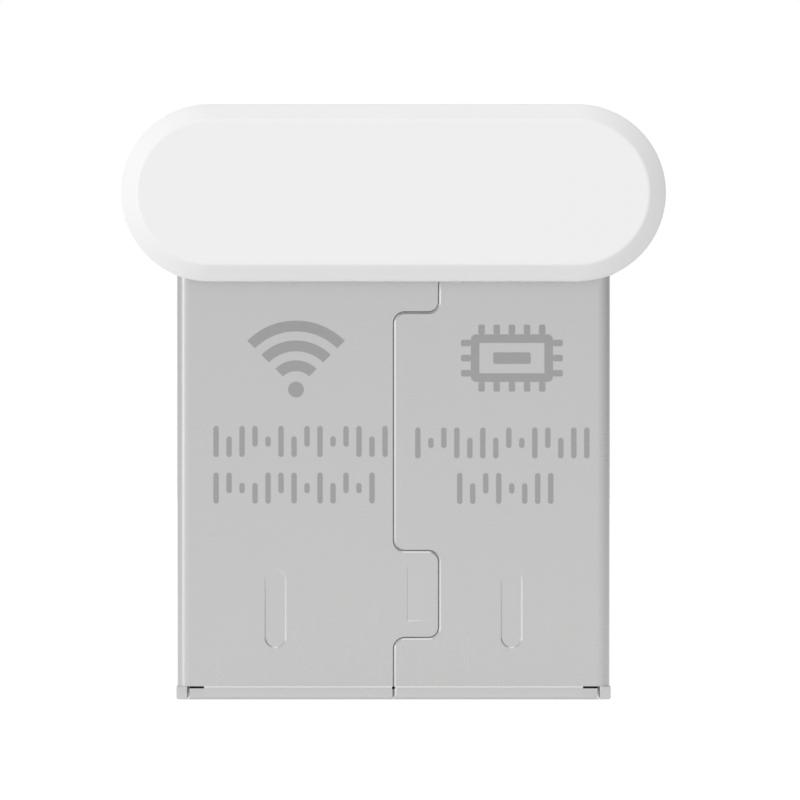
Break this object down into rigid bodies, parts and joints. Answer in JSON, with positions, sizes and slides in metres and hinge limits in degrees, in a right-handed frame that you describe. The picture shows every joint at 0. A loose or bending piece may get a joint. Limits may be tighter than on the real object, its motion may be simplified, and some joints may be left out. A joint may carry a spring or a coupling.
{
  "type": "usb wifi adapter",
  "caption": "Nano USB wireless network adapter: a white pill-shaped cap with a bevelled edge on a folded-sheet type A plug with an interlocked seam.",
  "frame": {"origin": "middle of the plug where it leaves the cap's flat underside", "axes": "+Z along the plug, out of the cap's closed end, so the plug's mouth opens at -Z; X across the plug's 12 mm width, VBUS contact at -X; the seamed side of the shell faces -Y and the contacts face +Y"},
  "size_m": [0.015, 0.007, 0.0165],
  "materials": {
    "cover_plastic": "white ABS moulding, fine satin texture, polished bevel",
    "plug_nickel": "nickel plated steel sheet, satin",
    "carrier_plastic": "black glass-filled moulding",
    "board_laminate": "glass-epoxy laminate with green solder mask",
    "contact_gold": "gold plated",
    "chip_epoxy": "black moulding compound",
    "solder_tin": "tinned or soldered, bright",
    "thermal_silicone": "soft filled silicone",
    "capacitor_ceramic": "unglazed",
    "resistor_film": "glazed black film",
    "inductor_ferrite": "moulded ferrite powder",
    "crystal_ceramic": "brown alumina",
    "crystal_lid": "welded alloy lid",
    "antenna_sheet": "tinned bronze strip",
    "led_carrier": "white laminate",
    "led_lens": "clear epoxy lens"
  },
  "bodies": {
    "root": {"front_cover": "cover_plastic", "rear_cover": "cover_plastic", "plug_shell": "plug_nickel", "board_carrier": "carrier_plastic", "main_board": "board_laminate", "contact_vbus": "contact_gold", "contact_data_minus": "contact_gold", "contact_data_plus": "contact_gold", "contact_ground": "contact_gold", "radio_chip": "chip_epoxy", "radio_chip_pads": "solder_tin", "thermal_pad": "thermal_silicone", "chip_capacitors": "capacitor_ceramic", "chip_resistors": "resistor_film", "passive_end_caps": "solder_tin", "power_inductor_core": "inductor_ferrite", "power_inductor_terminals": "solder_tin", "crystal_base": "crystal_ceramic", "crystal_lid": "crystal_lid", "voltage_regulator": "chip_epoxy", "regulator_leads": "solder_tin", "surge_protector": "chip_epoxy", "surge_protector_leads": "solder_tin", "antenna": "antenna_sheet", "antenna_solder": "solder_tin", "status_led_base": "led_carrier", "status_led_lens": "led_lens", "shell_solder": "solder_tin"}
  },
  "joints": []
}
